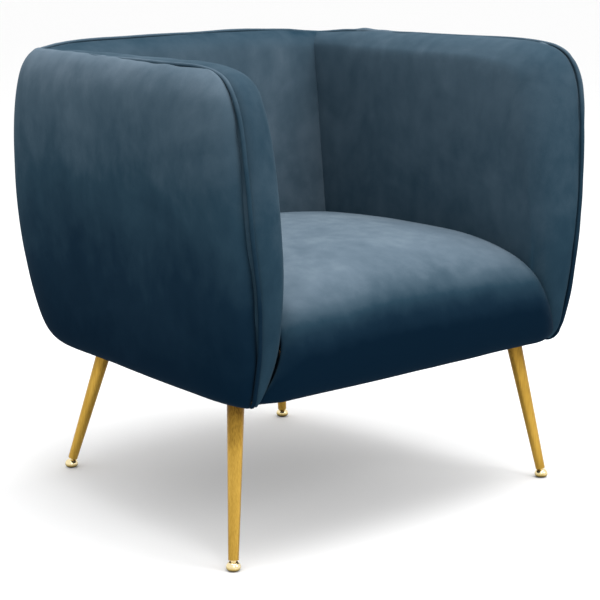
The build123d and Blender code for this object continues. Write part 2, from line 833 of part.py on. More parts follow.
for name, spot in LEGS.items():
    keep(leg(spot), f"{name}_leg")
    keep(leg_plate(name), f"{name}_leg_plate")
    keep(glide(spot), f"{name}_glide")
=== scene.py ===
import math

import bmesh
import bpy
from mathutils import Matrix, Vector, noise


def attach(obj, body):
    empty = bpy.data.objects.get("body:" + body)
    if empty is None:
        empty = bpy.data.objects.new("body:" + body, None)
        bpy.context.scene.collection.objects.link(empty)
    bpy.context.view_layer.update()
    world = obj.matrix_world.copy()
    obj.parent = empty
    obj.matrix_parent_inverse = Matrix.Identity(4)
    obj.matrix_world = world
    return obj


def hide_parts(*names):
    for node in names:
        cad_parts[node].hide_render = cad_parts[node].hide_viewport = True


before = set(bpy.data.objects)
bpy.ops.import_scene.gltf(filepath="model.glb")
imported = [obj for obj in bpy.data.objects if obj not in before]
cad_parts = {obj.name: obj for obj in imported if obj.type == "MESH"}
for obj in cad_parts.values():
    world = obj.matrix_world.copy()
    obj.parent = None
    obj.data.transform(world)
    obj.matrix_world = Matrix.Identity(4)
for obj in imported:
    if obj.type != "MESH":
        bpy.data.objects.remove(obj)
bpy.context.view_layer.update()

# ==== Timber frame =========================================================
# Sawn beech rails, plywood stumps and posts, glued and stapled into a seat
# box, two arm frames and a leaning back frame. All of it ends up under foam.


class Signal:
    """A shader socket that can be used in ordinary arithmetic."""

    def __init__(self, tree, socket):
        self.tree = tree
        self.socket = socket

    def combine(self, operation, first, second):
        node = self.tree.nodes.new("ShaderNodeMath")
        node.operation = operation
        for slot, value in zip(node.inputs, (first, second)):
            if isinstance(value, Signal):
                self.tree.links.new(value.socket, slot)
            else:
                slot.default_value = value
        return Signal(self.tree, node.outputs[0])

    def __add__(self, other):
        return self.combine("ADD", self, other)

    def __radd__(self, other):
        return self.combine("ADD", other, self)

    def __sub__(self, other):
        return self.combine("SUBTRACT", self, other)

    def __rsub__(self, other):
        return self.combine("SUBTRACT", other, self)

    def __mul__(self, other):
        return self.combine("MULTIPLY", self, other)

    def __rmul__(self, other):
        return self.combine("MULTIPLY", other, self)


class Finish:
    """One material: its node tree and its Principled shader."""

    def __init__(self, name, **constants):
        self.material = bpy.data.materials.new(name)
        self.material.use_nodes = True
        self.tree = self.material.node_tree
        self.shader = self.tree.nodes["Principled BSDF"]
        for socket, value in constants.items():
            self.shader.inputs[socket.replace("_", " ")].default_value = value

    def node(self, kind, settings=None, output=0, **values):
        made = self.tree.nodes.new(kind)
        for name, value in (settings or {}).items():
            if name == "stops":
                ramp = made.color_ramp
                ramp.elements[0].position, ramp.elements[0].color = value[0]
                ramp.elements[1].position, ramp.elements[1].color = value[-1]
                for position, colour in value[1:-1]:
                    ramp.elements.new(position).color = colour
            else:
                setattr(made, name, value)
        for name, value in values.items():
            numbered = name[0] == "i" and name[1:].isdigit()
            slot = made.inputs[int(name[1:]) if numbered else name.replace("_", " ")]
            if isinstance(value, Signal):
                self.tree.links.new(value.socket, slot)
            else:
                slot.default_value = value
        return Signal(self.tree, made.outputs[output])

    def place(self, scale=(1, 1, 1)):
        where = self.node("ShaderNodeTexCoord", output=3)
        return self.node("ShaderNodeMapping", i0=where, Scale=scale)

    def ramp(self, stops, factor):
        return self.node("ShaderNodeValToRGB", {"stops": stops}, i0=factor)

    def feed(self, socket, signal):
        self.tree.links.new(signal.socket, self.shader.inputs[socket])

    def bump(self, height, distance, strength=1.0):
        self.feed("Normal", self.node("ShaderNodeBump", Height=height, Distance=distance, Strength=strength))


def shade(colour, factor):
    return (colour[0] * factor, colour[1] * factor, colour[2] * factor, 1.0)


def dress(names, finish):
    for name in names:
        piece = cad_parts[name]
        piece.data.materials.clear()
        piece.data.materials.append(finish.material)


def timber(name, colour, along, ring_scale):
    finish = Finish(name, Roughness=0.62)
    stretch = [26.0, 26.0, 26.0]
    stretch[along] = 2.2
    where = finish.place(tuple(stretch))
    grain = finish.node("ShaderNodeTexNoise", i0=where, Scale=1.0, Detail=6.0, Roughness=0.6)
    streak = finish.node("ShaderNodeTexWave", {"wave_type": "RINGS"}, output=1, i0=where,
                         Scale=ring_scale, Distortion=5.0, Detail=2.0)
    mixed = grain * 0.7 + streak * 0.3
    stops = [(0.3, shade(colour, 0.62)), (0.5, shade(colour, 1.0)), (0.72, shade(colour, 1.25))]
    finish.feed("Base Color", finish.ramp(stops, mixed))
    finish.bump(mixed, 0.0004)
    return finish


def both(*kinds):
    return [f"{side}_{kind}" for kind in kinds for side in ("left", "right")]


BEECH = (0.62, 0.43, 0.25)
dress(["front_seat_rail", "back_seat_rail", "back_head_rail"], timber("beech_across", BEECH, 0, 0.5))
dress(both("seat_rail", "arm_rail", "corner_rail", "head_corner_rail") + ["front_leg_blocks", "back_leg_blocks"],
      timber("beech_along", BEECH, 1, 0.5))
dress(both("arm_stump", "arm_post", "back_upright"), timber("beech_upright", BEECH, 2, 0.5))
dress(both("arm_panel") + ["back_panel"], timber("hardboard", (0.30, 0.19, 0.10), 2, 2.0))

# ==== Springs, webbing and lining cloth =====================================
# Zigzag steel springs hang between clips on the front and back rails. Woven
# elastic straps cross the back, and black spun cloth covers springs and base.


def steel(name, colour, roughness):
    finish = Finish(name, Metallic=1.0)
    cloud = finish.node("ShaderNodeTexNoise", i0=finish.place((60, 60, 60)), Scale=1.0, Detail=4.0)
    finish.feed("Base Color", finish.ramp([(0.35, shade(colour, 0.75)), (0.65, shade(colour, 1.1))], cloud))
    finish.feed("Roughness", cloud * 0.2 + roughness)
    return finish


def cloth(name, colour, pitch, depth, roughness=0.85):
    finish = Finish(name, Roughness=roughness)
    where = finish.place((1 / pitch, 1 / pitch, 1 / pitch))
    warp = finish.node("ShaderNodeTexWave", {"bands_direction": "X"}, output=1, i0=where,
                       Scale=0.5, Distortion=0.6)
    weft = finish.node("ShaderNodeTexWave", {"bands_direction": "Y"}, output=1, i0=where,
                       Scale=0.5, Distortion=0.6)
    weave = warp * 0.5 + weft * 0.5
    finish.feed("Base Color", finish.ramp([(0.1, shade(colour, 0.6)), (0.9, shade(colour, 1.2))], weave))
    finish.bump(weave, depth)
    return finish


dress(["seat_springs", "spring_clips"], steel("spring_wire", (0.34, 0.35, 0.37), 0.3))
dress(["back_webbing"], cloth("webbing", (0.36, 0.30, 0.19), 0.003, 0.0006))
dress(["spring_cloth", "dust_cover"], cloth("black_lining", (0.030, 0.030, 0.032), 0.0016, 0.0003))

# ==== Foam ==================================================================
# Cut polyurethane foam, glued over the frame: open cells, a little yellowed.
# It lies under the covers, and no part of it is meant to be seen.
foam = Finish("foam", Roughness=0.95)
cells = foam.node("ShaderNodeTexVoronoi", i0=foam.place((420, 420, 420)), Scale=1.0)
foam.feed("Base Color", foam.ramp([(0.1, (0.42, 0.36, 0.22, 1)), (0.6, (0.74, 0.68, 0.50, 1))], cells))
foam.bump(cells, 0.0012)
dress([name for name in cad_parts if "foam" in name], foam)

# ==== Legs ==================================================================
# Tapered steel tubes in brushed brass, each screwed by a square plate under
# the frame. Each foot is a turned, polished glide that slides out to level it.

# height above which a leg is painted darker, as painted shade and reflection of the seat above it, and where a
# brass ramp has its stops
UNDER_SEAT = 0.165
BRASS_STOPS = (0.05, 0.30, 0.50, 0.70)


def brass(name, shades, roughness, grain, by_slope, top_dark):
    """Brass whose random streaks run from the first colour to the last, with a painted highlight on faces
    looking up and painted shade high on the leg under the seat.
    """
    finish = Finish(name, Metallic=1.0)
    where = finish.place()
    lines = finish.node("ShaderNodeTexNoise", i0=finish.place((900, 900, 14)), Scale=1.0, Detail=3.0)
    cloud = finish.node("ShaderNodeTexNoise", i0=finish.place((28, 28, 9)), Scale=1.0, Detail=3.0)
    facing = finish.node("ShaderNodeNewGeometry", output=1)
    slope = finish.node("ShaderNodeSeparateXYZ", output=2, i0=facing)
    height = finish.node("ShaderNodeSeparateXYZ", output=2, i0=where)
    above = height - UNDER_SEAT
    under_seat = above.combine("MAXIMUM", above, 0.0)
    mixed = lines * grain + cloud * (1 - grain)
    # painted light and shade: lighter on faces looking up, darker towards the seat above
    tone_and_painted_light = mixed + slope * by_slope - under_seat * top_dark
    stops = [(stop, (*colour, 1)) for stop, colour in zip(BRASS_STOPS, shades)]
    finish.feed("Base Color", finish.ramp(stops, tone_and_painted_light))
    finish.feed("Roughness", mixed * 0.16 + roughness)
    finish.bump(lines, 0.00004)
    return finish


# brass colour ramps, from painted shade up to painted highlight
BRUSHED_SHADES = [(0.09, 0.045, 0.008), (0.27, 0.155, 0.025), (0.42, 0.250, 0.042), (0.54, 0.335, 0.066)]
POLISHED_SHADES = [(0.03, 0.022, 0.006), (0.20, 0.14, 0.035), (0.60, 0.45, 0.17), (0.90, 0.76, 0.45)]
LEG_NAMES = ["front_left", "front_right", "back_left", "back_right"]
# legs: painted highlight on upward faces and painted shade under the seat; glides: painted highlight on top and
# painted shade underneath
brushed = brass("brushed_brass", BRUSHED_SHADES, 0.27, 0.5, 0.15, 7.0)
polished = brass("polished_brass", POLISHED_SHADES, 0.05, 0.2, 0.55, 0.0)
dress([f"{name}_leg" for name in LEG_NAMES], brushed)
dress([f"{name}_glide" for name in LEG_NAMES], polished)
dress([f"{name}_leg_plate" for name in LEG_NAMES] + ["leg_studs", "plate_screws"],
      steel("zinc_plate", (0.60, 0.60, 0.57), 0.32))
dress(["leg_end_plugs"], cloth("plug_nylon", (0.035, 0.035, 0.035), 0.004, 0.00005, 0.5))

# ==== Outside covers ========================================================
# Velvet over thick wadding on both sides and the back. The panels belly out
# between the base and the rim and meet in two seams behind the back corners.

# one row for each height: height, front edge across and along, half width of
# the side, back, radius of the back corner
SHELL = [
    (0.2380, 0.2990, -0.2750, 0.2990, 0.2330, 0.105),
    (0.2362, 0.3015, -0.2850, 0.3130, 0.2440, 0.115),
    (0.2468, 0.3085, -0.2960, 0.3360, 0.2630, 0.124),
    (0.2700, 0.3105, -0.3050, 0.3470, 0.2870, 0.132),
    (0.3230, 0.3130, -0.3140, 0.3540, 0.3120, 0.140),
    (0.4030, 0.3190, -0.3180, 0.3620, 0.3270, 0.140),
    (0.4840, 0.3280, -0.3150, 0.3690, 0.3275, 0.140),
    (0.5640, 0.3325, -0.3110, 0.3735, 0.3200, 0.140),
    (0.6200, 0.3350, -0.3055, 0.3740, 0.3070, 0.134),
    (0.6600, 0.3360, -0.2965, 0.3690, 0.2930, 0.122),
    (0.6840, 0.3355, -0.2780, 0.3570, 0.2845, 0.110),
    (0.6960, 0.3340, -0.2530, 0.3440, 0.2800, 0.103),
    (0.6990, 0.3330, -0.2370, 0.3350, 0.2775, 0.100),
]
SIDE_TAPER = 0.021
PAD_WALL = 0.005
BACK_BOW = 0.004
RIM_TOP = 0.6975
RIM_BACK = 0.278
EDGE_DROP = 0.0075
CORNER_DIP = 0.0065
SEAM_X = 0.211


def through(points, places):
    """Smooth curve through points, by chord length, at places from 0 to 1."""
    points = [Vector(point) for point in points]
    knots = [0.0]
    for first, second in zip(points, points[1:]):
        knots.append(knots[-1] + max((second - first).length, 1e-6) ** 0.5)
    slopes = []
    for i in range(len(points)):
        low, high = max(i - 1, 0), min(i + 1, len(points) - 1)
        slopes.append((points[high] - points[low]) / (knots[high] - knots[low]))
    result = []
    for place in places:
        knot = place * knots[-1]
        i = 0
        while i < len(points) - 2 and knot > knots[i + 1]:
            i += 1
        gap = knots[i + 1] - knots[i]
        t = (knot - knots[i]) / gap
        a = points[i] * (2 * t**3 - 3 * t**2 + 1) + slopes[i] * (gap * (t**3 - 2 * t**2 + t))
        b = points[i + 1] * (3 * t**2 - 2 * t**3) + slopes[i + 1] * (gap * (t**3 - t**2))
        result.append(a + b)
    return result


def steps(count):
    return [i / count for i in range(count + 1)]


def ease(low, high, value):
    t = min(max((value - low) / (high - low), 0.0), 1.0)
    return t * t * (3 - 2 * t)


def near(value, centre, reach):
    return 1.0 - ease(0.0, reach, abs(value - centre))


def corner_dip(x, y):
    """How far the rim sinks at the back corners."""
    return CORNER_DIP * near(math.hypot(abs(x) - 0.272, y - 0.245), 0.0, 0.10)


def shell_plan(row, places, to_seam):
    """Plan of the outside at one height, from the front piping backwards."""
    z, edge_x, edge_y, side, back, bend = row
    rear = side - SIDE_TAPER
    swell = side - edge_x
    points = [
        (edge_x - 0.0080, edge_y + 0.0150, z),
        (edge_x - 0.0010, edge_y + 0.0065, z),
        (edge_x + 0.16 * swell + 0.0025, edge_y + 0.0035, z),
        (edge_x + 0.60 * swell, edge_y + 0.0125, z),
        (edge_x + 0.90 * swell, edge_y + 0.036, z),
        (side, edge_y + 0.085, z),
        (side - 0.28 * SIDE_TAPER + 0.0015, edge_y + 0.20, z),
        (rear + 0.004, back - bend - 0.06, z),
        (rear - 0.002, back - bend + 0.02, z),
    ]
    for angle in (30, 52, 74):
        lean = math.radians(angle)
        points.append((rear - bend + bend * math.cos(lean), back - bend + bend * math.sin(lean), z))
    points.append((SEAM_X, back + 0.0005 - 0.03 * max(0.0, SEAM_X - rear + bend), z))
    if to_seam:
        return through(points, places)
    return through([points[-1], (0.11, back + 0.75 * BACK_BOW, z), (0, back + BACK_BOW, z),
                    (-0.11, back + 0.75 * BACK_BOW, z), (-points[-1][0], points[-1][1], z)], places)


def grid(rows):
    """A quad sheet whose vertices are moved on to the given rows of points."""
    across, along = len(rows[0]), len(rows)
    bm = bmesh.new()
    bmesh.ops.create_grid(bm, x_segments=across - 1, y_segments=along - 1, size=0.5)
    uv = bm.loops.layers.uv.new("UVMap")
    bm.verts.ensure_lookup_table()
    ordered = sorted(bm.verts, key=lambda vert: (round(vert.co.y, 6), round(vert.co.x, 6)))
    lengths = sum((rows[along // 2][i + 1] - rows[along // 2][i]).length for i in range(across - 1))
    heights = sum((rows[j + 1][across // 2] - rows[j][across // 2]).length for j in range(along - 1))
    places = {}
    for index, vert in enumerate(ordered):
        j, i = divmod(index, across)
        places[vert] = (i / (across - 1) * lengths, j / (along - 1) * heights)
    for face in bm.faces:
        for loop in face.loops:
            loop[uv].uv = places[loop.vert]
    for index, vert in enumerate(ordered):
        j, i = divmod(index, across)
        vert.co = rows[j][i]
    return bm


def ripple(point, seed, reach):
    """Slight unevenness of stretched cloth over wadding."""
    broad = noise.noise(point * 7.0 + Vector((seed, 0, 0)))
    fine = noise.noise(point * 19.0 + Vector((0, seed, 0)))
    return (broad * 0.75 + fine * 0.25) * reach


def unevenness(bm, seed, reach):
    bm.normal_update()
    moves = [(vert, vert.normal * ripple(vert.co, seed, reach)) for vert in bm.verts]
    for vert, move in moves:
        vert.co += move


def new_object(name, bm, smooth=True):
    """Put a finished mesh into the scene as an object of its own."""
    for face in bm.faces:
        face.smooth = smooth
    mesh = bpy.data.meshes.new(name)
    bm.to_mesh(mesh)
    bm.free()
    made = bpy.data.objects.new(name, mesh)
    bpy.context.scene.collection.objects.link(made)
    return made


def sewn_cover(name, bm):
    """Turn a sheet into a cover with real thickness, smooth shaded."""
    cover = new_object(name, bm)
    wall = cover.modifiers.new("wall", "SOLIDIFY")
    wall.thickness = PAD_WALL
    wall.offset = -1.0
    smooth = cover.modifiers.new("smooth", "SUBSURF")
    smooth.levels = 1
    smooth.render_levels = 1
    return cover


def mirror_rows(rows):
    return [[Vector((-p.x, p.y, p.z)) for p in reversed(row)] for row in rows]


# velvet colours, from the deepest painted shade to the brightest painted highlight
VELVET_STOPS = [
    (0.00, (0.0022, 0.0088, 0.0185, 1)),
    (0.20, (0.0050, 0.0152, 0.0280, 1)),
    (0.40, (0.0150, 0.0350, 0.0530, 1)),
    (0.60, (0.0450, 0.0730, 0.0980, 1)),
    (0.80, (0.1000, 0.1370, 0.1730, 1)),
    (1.00, (0.1850, 0.2380, 0.2760, 1)),
]


def velvet_finish(name, level, by_slope, by_height, by_front=0.0, low=0.24, high=0.70):
    """Velvet with short pile and random tone, and painted light and shade: by how far a face looks up, by
    height, and by how far it looks to the back.
    """
    finish = Finish(name, Roughness=0.82, Specular_IOR_Level=0.0, Sheen_Weight=0.04, Sheen_Roughness=0.32,
                    Sheen_Tint=(0.66, 0.80, 0.90, 1))
    where = finish.place()
    broad = finish.node("ShaderNodeTexNoise", i0=where, Scale=7.0, Detail=5.0, Roughness=0.62, Distortion=0.5)
    pile = finish.node("ShaderNodeTexNoise", i0=where, Scale=1600.0, Detail=2.0)
    brush = finish.node("ShaderNodeTexNoise", i0=finish.place((42, 42, 26)), Scale=1.0, Detail=5.0)
    facing = finish.node("ShaderNodeNewGeometry", output=1)
    slope = finish.node("ShaderNodeSeparateXYZ", output=2, i0=facing)
    back = finish.node("ShaderNodeSeparateXYZ", output=1, i0=facing)
    height = finish.node("ShaderNodeSeparateXYZ", output=2, i0=where)
    rise = (height - low) * (1.0 / (high - low)) - 0.5
    # painted light and shade: lighter or darker by facing up, by height and by facing back
    painted_light_and_shade = level + slope * by_slope + rise * by_height + back * by_front
    grain = (broad - 0.5) * 0.30 + (brush - 0.5) * 0.14 + (pile - 0.5) * 0.10
    finish.feed("Base Color", finish.ramp(VELVET_STOPS, painted_light_and_shade + grain))
    finish.bump(pile * 0.6 + brush * 0.4, 0.0005, 0.6)
    return finish


# outside panels: painted shade low down, painted light towards the rim and on faces looking up
outside_velvet = velvet_finish("outside_velvet", 0.33, 0.12, 0.66)


def shell_sheet(places, to_seam):
    """Rows of points from the base to the rim."""
    rows = []
    for level in through(SHELL, steps(56)):
        row = shell_plan(level, places, to_seam)
        for point in row:
            point.z -= corner_dip(point.x, point.y) * ease(0.60, 0.695, point.z)
        rows.append(row)
    rows.append([point * 0.988 + Vector((0, 0, 0.0023)) for point in rows[-1]])
    return rows


def seam_groove(bm, depth, reach):
    """Draw the cloth in along the two seams behind the corners."""
    bm.normal_update()
    for vert in bm.verts:
        if vert.co.y > 0.1:
            pull = near(abs(vert.co.x), SEAM_X, reach) ** 2
            vert.co -= vert.normal * depth * pull * ease(0.235, 0.27, vert.co.z)


def puckers(bm, seed, reach, depth, distance):
    """Small gathers that run out of a sewn edge; distance gives the way to it."""
    bm.normal_update()
    for vert in bm.verts:
        away = distance(vert.co)
        fade = max(0.0, 1.0 - away / reach) ** 1.5
        if fade > 0:
            along = noise.noise(vert.co * 34.0 + Vector((seed, seed, 0)))
            vert.co += vert.normal * along * depth * fade


def front_edge_distance(point):
    """Rough distance from the piping on an arm's front and top."""
    z = min(max(point.z, SHELL[0][0]), SHELL[-1][0])
    for low, high in zip(SHELL[1:], SHELL[2:]):
        if z <= high[0]:
            break
    share = (z - low[0]) / (high[0] - low[0])
    edge_y = low[2] + (high[2] - low[2]) * share
    edge_x = low[1] + (high[1] - low[1]) * share
    to_front = math.hypot(point.y - edge_y, abs(point.x) - edge_x)
    return min(to_front, abs(0.70 - corner_dip(point.x, point.y) - point.z) + 0.002)


side_rows = shell_sheet(steps(84), True)
sides = [("left", side_rows, 3.1, 2.0), ("right", mirror_rows(side_rows), 8.7, 5.0)]
for side, rows, cloth_seed, sewn_seed in sides:
    bm = grid(rows)
    unevenness(bm, cloth_seed, 0.0016)
    puckers(bm, sewn_seed, 0.045, 0.0028, front_edge_distance)
    seam_groove(bm, 0.0020, 0.010)
    piece = sewn_cover(f"{side}_outside_panel", bm)
    piece.data.materials.append(outside_velvet.material)
    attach(piece, "chair")
    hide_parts(f"{side}_outside_arm_cover", f"{side}_outside_arm_foam", f"{side}_corner_foam")

bm = grid(shell_sheet(steps(56), False))
unevenness(bm, 5.5, 0.0016)
seam_groove(bm, 0.0020, 0.010)
piece = sewn_cover("back_outside_panel", bm)
piece.data.materials.append(outside_velvet.material)
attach(piece, "chair")
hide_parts("outside_back_cover", "outside_back_foam")

# ==== Arm linings ===========================================================
# Velvet over foam on the inside of each arm. The cloth goes down behind the
# seat, over the rim and round the arm's front, and is sewn to the piping.

INSIDE = 0.2575
# one row along the crest: along, height, outwards in y, outwards in z, inner
# face across, roundness of the front
ARM_CREST = [
    (-0.2900, 0.2380, -0.7, -0.7, 0.2955, 1.0),
    (-0.3040, 0.2600, -1.0, -0.25, 0.2840, 1.0),
    (-0.3185, 0.3200, -1.0, 0.0, 0.2660, 1.0),
    (-0.3245, 0.4030, -1.0, 0.0, 0.2585, 1.0),
    (-0.3225, 0.4840, -1.0, 0.05, 0.2575, 1.15),
    (-0.3175, 0.5640, -1.0, 0.11, 0.2580, 1.35),
    (-0.3105, 0.6200, -0.97, 0.23, 0.2590, 1.65),
    (-0.2990, 0.6600, -0.83, 0.55, 0.2600, 1.85),
    (-0.2750, 0.6880, -0.48, 0.87, 0.2595, 1.70),
    (-0.2290, 0.7003, -0.13, 1.0, 0.2580, 1.35),
    (-0.1350, 0.7012, 0.0, 1.0, 0.2575, 1.05),
    (-0.0100, 0.6990, 0.0, 1.0, 0.2575, 1.0),
    (0.1050, 0.6975, 0.0, 1.0, 0.2575, 1.0),
]
# the foot of the lining, tucked down between the arm and the seat
ARM_TUCK = [
    (-0.268, 0.239), (-0.282, 0.262), (-0.288, 0.300), (-0.280, 0.330), (-0.262, 0.350), (-0.235, 0.362),
    (-0.205, 0.368), (-0.175, 0.370), (-0.145, 0.372), (-0.110, 0.372), (-0.060, 0.372), (0.030, 0.370),
    (0.110, 0.366),
]
# the rim's back corner in plan: centre across and along, radius
RIM_ARC = (0.214, 0.1775, 0.100)
# the rim's seam along an arm: along, across
RIM_EDGE = [(-0.2290, 0.3330), (-0.1350, 0.3348), (-0.0100, 0.3303), (0.1050, 0.3193)]


def rim_point(angle):
    """A place on the rim's back corner, 0 at the arm and 90 at the back."""
    centre_x, centre_y, radius = RIM_ARC
    turn = math.radians(angle)
    return centre_x + radius * math.cos(turn), centre_y + radius * math.sin(turn)


def edge_across(y, z):
    """How far out the piping is, beside a place on an arm."""
    table, place = ([(row[0], row[1]) for row in SHELL], z) if z < 0.69 else (RIM_EDGE, y)
    for (low, across_low), (high, across_high) in zip(table, table[1:]):
        if high > place:
            break
    share = min(max((place - low) / (high - low), 0.0), 1.0)
    return across_low + (across_high - across_low) * share


def rim_section(low, high, inner, outer, puff):
    """One section of a lining: up the inside, over the rim and under the piping."""
    return [
        low,
        low.lerp(high, 0.33) + puff,
        low.lerp(high, 0.66) + puff,
        high,
        inner.lerp(outer, 0.10) + Vector((0, 0, -0.014)),
        inner.lerp(outer, 0.34) + Vector((0, 0, -0.003)),
        inner.lerp(outer, 0.66) + Vector((0, 0, 0.0040)),
        inner.lerp(outer, 0.90) + Vector((0, 0, 0.0035)),
        outer,
        outer + (outer - inner).normalized() * 0.005 + Vector((0, 0, -0.012)),
    ]


def seam_tuck(section, wall_move, rim_move):
    """The edge beyond a corner seam, tucked out of sight."""
    return [point + (wall_move if index < 4 else rim_move) for index, point in enumerate(section)]


def arm_rows():
    sections = []
    for (y, z, out_y, out_z, inner_x, bend), (tuck_y, tuck_z) in zip(ARM_CREST, ARM_TUCK):
        edge = edge_across(y, z)
        width = edge - inner_x
        deep = 0.034 * bend * min(1.0, width / 0.055)
        wide = width * (0.42 + 0.20 * bend)
        low = Vector((INSIDE - 0.003, tuck_y, tuck_z))
        high = Vector((inner_x - 0.0028, y - deep * out_y, z - deep * out_z))
        sections.append([
            low,
            low.lerp(high, 0.33) + Vector((-0.0010, 0, 0)),
            low.lerp(high, 0.66) + Vector((-0.0010, 0, 0)),
            high,
            Vector((inner_x + 0.134 * wide, y - 0.5 * deep * out_y, z - 0.5 * deep * out_z)),
            Vector((inner_x + 0.5 * wide, y - 0.134 * deep * out_y, z - 0.134 * deep * out_z)),
            Vector((inner_x + wide, y + 0.0005 * out_y, z + 0.0005 * out_z)),
            Vector((edge - 0.09 * width, y - 0.003 * out_y, z - 0.003 * out_z)),
            Vector((edge - 0.001, y - 0.0085 * out_y, z - 0.0085 * out_z)),
            Vector((edge + 0.006, y - 0.0180 * out_y, z - 0.0180 * out_z)),
        ])
    # two sections turn into the seam at the back corner, and one goes down in it
    for share, angle, depth in ((0.55, 22, 0.0036), (1.0, 45, CORNER_DIP)):
        outer_x, outer_y = rim_point(angle)
        top = RIM_TOP - depth
        inner_y = 0.105 + (0.2265 - 0.105) * share
        inner_x = INSIDE - 0.002 * share
        low = Vector((0.2545 - 0.001 * share, 0.110 + (0.189 - 0.110) * share, 0.366 - 0.006 * share))
        high = Vector((inner_x, inner_y - 0.003 * share, 0.664 - 0.002 * share))
        outer = Vector((outer_x, outer_y, top - EDGE_DROP))
        inner = Vector((inner_x, inner_y, top))
        sections.append(rim_section(low, high, inner, outer, Vector((-0.0038 * (1 - share), 0, 0))))
    sections.append(seam_tuck(sections[-1], Vector((0.003, 0.008, 0)), Vector((-0.005, 0.006, -0.007))))
    columns = [through(column, steps(100)) for column in zip(*sections)]
    return [through(list(section), steps(46)) for section in zip(*columns)]


def face_towards(bm, place, direction):
    """Turn a sheet so that its face nearest to place looks along direction."""
    bmesh.ops.recalc_face_normals(bm, faces=bm.faces)
    middle = min(bm.faces, key=lambda face: (face.calc_center_median() - Vector(place)).length)
    if middle.normal.dot(Vector(direction)) < 0:
        bmesh.ops.reverse_faces(bm, faces=bm.faces)


# arm linings: painted light higher up and on faces looking back, slight painted shade on faces looking up
arm_velvet = velvet_finish("arm_velvet", 0.52, -0.04, 0.18, by_front=0.11)
lining_rows = arm_rows()
for side, sign, rows, seed in (("left", 1, lining_rows, 1.7), ("right", -1, mirror_rows(lining_rows), 6.4)):
    bm = grid(rows)
    face_towards(bm, (sign * 0.255, -0.05, 0.52), (-sign, 0, 0))
    unevenness(bm, seed, 0.0014)
    puckers(bm, seed, 0.035, 0.0020, front_edge_distance)
    piece = sewn_cover(f"{side}_arm_lining", bm)
    piece.data.materials.append(arm_velvet.material)
    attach(piece, "chair")
    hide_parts(f"{side}_arm_cover", f"{side}_arm_foam")

# ==== Back lining ===========================================================
# Velvet over foam on the inside of the back, between the two corner seams,
# up and over the rim to the piping.


def back_rows():
    sections = []
    for place in (-1.0, -0.9, -0.7, -0.35, 0.0, 0.35, 0.7, 0.9, 1.0):
        side = -1 if place < 0 else 1
        reach = abs(place)
        turn = 45 + 45 * ease(0.0, 1.0, (1.0 - reach) / 0.3)
        outer_x, outer_y = rim_point(turn)
        if reach < 0.7:
            outer_x = 0.212 * reach / 0.7
            outer_y = RIM_BACK + BACK_BOW * (1 - reach)
        dip = CORNER_DIP * ease(0.55, 1.0, reach)
        top = 0.6985 - dip
        sink = 0.002 * reach ** 3
        low = Vector((side * 0.2535 * reach, 0.1890 - sink, 0.360))
        high = Vector((side * 0.2555 * reach, 0.2235 + 0.003 * (1 - reach), 0.662))
        inner = Vector((side * 0.2555 * reach, 0.2265 + 0.003 * (1 - reach), top))
        outer = Vector((side * outer_x, outer_y, top - EDGE_DROP))
        sections.append(rim_section(low, high, inner, outer, Vector((0, -0.004 * (1 - reach ** 4), 0))))
    sections.insert(0, seam_tuck(sections[0], Vector((-0.008, 0.003, 0)), Vector((-0.006, -0.005, -0.007))))
    sections.append(seam_tuck(sections[-1], Vector((0.008, 0.003, 0)), Vector((0.006, -0.005, -0.007))))
    columns = [through(column, steps(84)) for column in zip(*sections)]
    return [through(list(section), steps(44)) for section in zip(*columns)]


# inside back: painted shade on faces looking up and towards the top, against the light from above
back_velvet = velvet_finish("back_velvet", 0.66, -0.16, -0.12)
bm = grid(back_rows())
face_towards(bm, (0, 0.2, 0.5), (0, -1, 0))
unevenness(bm, 4.2, 0.0013)
piece = sewn_cover("inside_back_lining", bm)
piece.data.materials.append(back_velvet.material)
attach(piece, "chair")
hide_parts("back_cover", "back_foam")

# ==== Seat ==================================================================
# One tight, crowned pad of velvet over foam, rolled over the front rail and
# turned under it, and pulled down between the arms and the back.

# side view of the seat beside an arm: along, height, share of the crown, half
# width, how far the edge turns back
SEAT = [
    (0.1960, 0.3640, 0.0, 0.2578, 0.003),
    (0.1900, 0.3790, 0.35, 0.2578, 0.010),
    (0.1650, 0.3870, 0.75, 0.2578, 0.011),
    (0.0600, 0.3935, 1.0, 0.2578, 0.011),
    (-0.0500, 0.3975, 1.0, 0.2578, 0.011),
    (-0.1500, 0.3965, 1.0, 0.2578, 0.011),
    (-0.2180, 0.3890, 0.85, 0.2580, 0.011),
    (-0.2700, 0.3750, 0.62, 0.2590, 0.011),
    (-0.3020, 0.3530, 0.42, 0.2630, 0.012),
    (-0.3190, 0.3200, 0.26, 0.2700, 0.012),
    (-0.3225, 0.2870, 0.16, 0.2810, 0.013),
    (-0.3180, 0.2600, 0.08, 0.2920, 0.014),
    (-0.3060, 0.2430, 0.02, 0.2970, 0.011),
    (-0.2880, 0.2385, 0.0, 0.2970, 0.002),
    (-0.2680, 0.2390, 0.0, 0.2950, 0.0),
]
SEAT_CROWN = 0.021


def seat_rows():
    outward = []
    for i in range(len(SEAT)):
        low, high = SEAT[max(i - 1, 0)], SEAT[min(i + 1, len(SEAT) - 1)]
        run = Vector((0, high[0] - low[0], high[1] - low[1])).normalized()
        outward.append(Vector((0, run.z, -run.y)))
    rows = []
    for place in steps(88):
        across = 2 * place - 1
        rise = 1 - abs(across) ** 2.3
        roll = max(0.0, (abs(across) - 0.86) / 0.14) ** 2
        line = []
        for (y, z, share, half, sink), out in zip(SEAT, outward):
            line.append(Vector((across * half, y, z)) + out * (SEAT_CROWN * share * rise - sink * roll))
        rows.append(through(line, steps(96)))
    return rows


